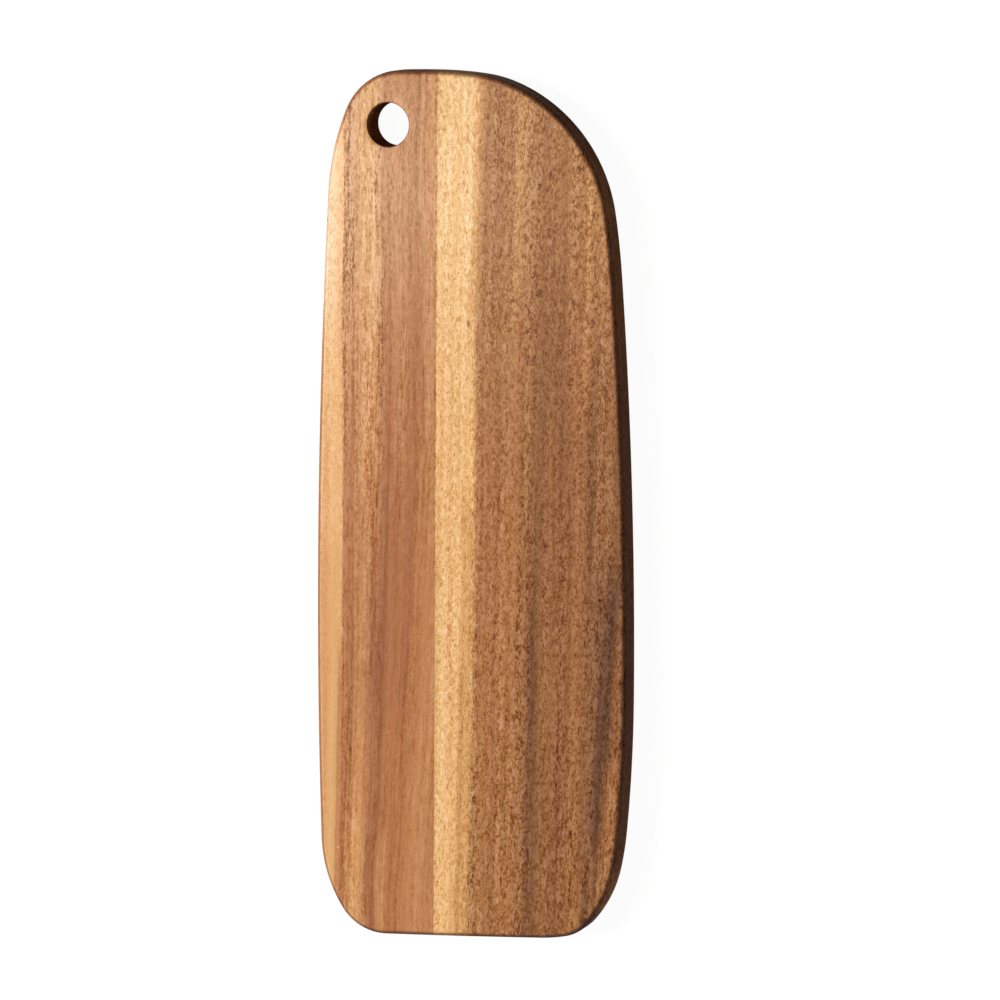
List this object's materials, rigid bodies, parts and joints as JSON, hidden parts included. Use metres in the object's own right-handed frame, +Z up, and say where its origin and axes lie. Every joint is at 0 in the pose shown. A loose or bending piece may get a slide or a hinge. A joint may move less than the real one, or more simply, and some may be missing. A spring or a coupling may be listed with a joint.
{
  "type": "paddle charcuterie board",
  "caption": "Slim asymmetric wooden serving board with rounded corners, rounded-over edges and a hanging hole near one end.",
  "frame": {"origin": "centre of the board's outer box, on its underside", "axes": "+X across the board towards the wide stave and the big shoulder, +Y along the board towards the hanging hole, +Z up out of the serving face"},
  "size_m": [0.15, 0.4, 0.015],
  "materials": {
    "reddish_acacia": "satin, oiled",
    "brown_acacia": "satin, oiled",
    "wood_glue": "matte"
  },
  "bodies": {
    "root": {"narrow_stave": "reddish_acacia", "wide_stave": "brown_acacia", "glue_line": "wood_glue"}
  },
  "joints": []
}
